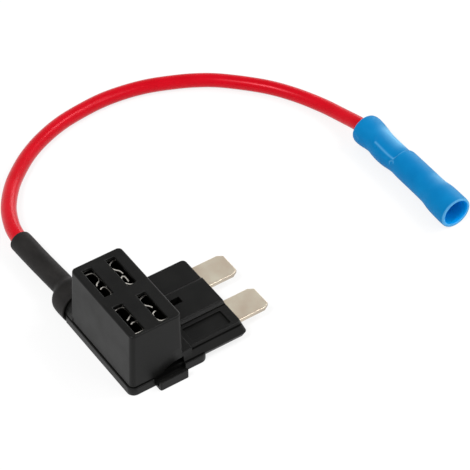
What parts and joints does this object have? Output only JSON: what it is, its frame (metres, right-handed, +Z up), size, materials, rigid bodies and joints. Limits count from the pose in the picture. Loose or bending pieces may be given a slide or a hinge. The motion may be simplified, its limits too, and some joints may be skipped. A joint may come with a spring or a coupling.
{
  "type": "piggyback fuse tap",
  "caption": "Black plug with flat blades and a raised head of fuse sockets, a clip-in cover, and a short red tap wire in a shrink sleeve that ends in a blue crimp splice.",
  "frame": {"origin": "centre of the plug, head and cover seen from above, at the cover's underside; the wire, its sleeve and its splice are left out", "axes": "+X the way the blades point, +Y the side the wire leaves from, +Z up from the cover to the fuse sockets' open side"},
  "size_m": [0.0712, 0.0654, 0.0131],
  "materials": {
    "black_nylon": "fine satin moulded nylon",
    "tinned_brass": "stamped and tinned, warm silver",
    "copper": "bare copper strands",
    "red_jacket": "smooth glossy PVC jacket",
    "black_shrink": "satin heat-shrink tube",
    "blue_nylon": "smooth translucent-looking nylon"
  },
  "bodies": {
    "root": {"main_housing": "black_nylon", "base_cover": "black_nylon", "line_terminal": "tinned_brass", "load_terminal": "tinned_brass", "tap_terminal": "tinned_brass", "crimped_strands": "copper", "tap_wire": "red_jacket", "shrink_sleeve": "black_shrink", "splice_sleeve": "blue_nylon", "splice_barrel": "tinned_brass", "spliced_strands": "copper"}
  },
  "joints": []
}
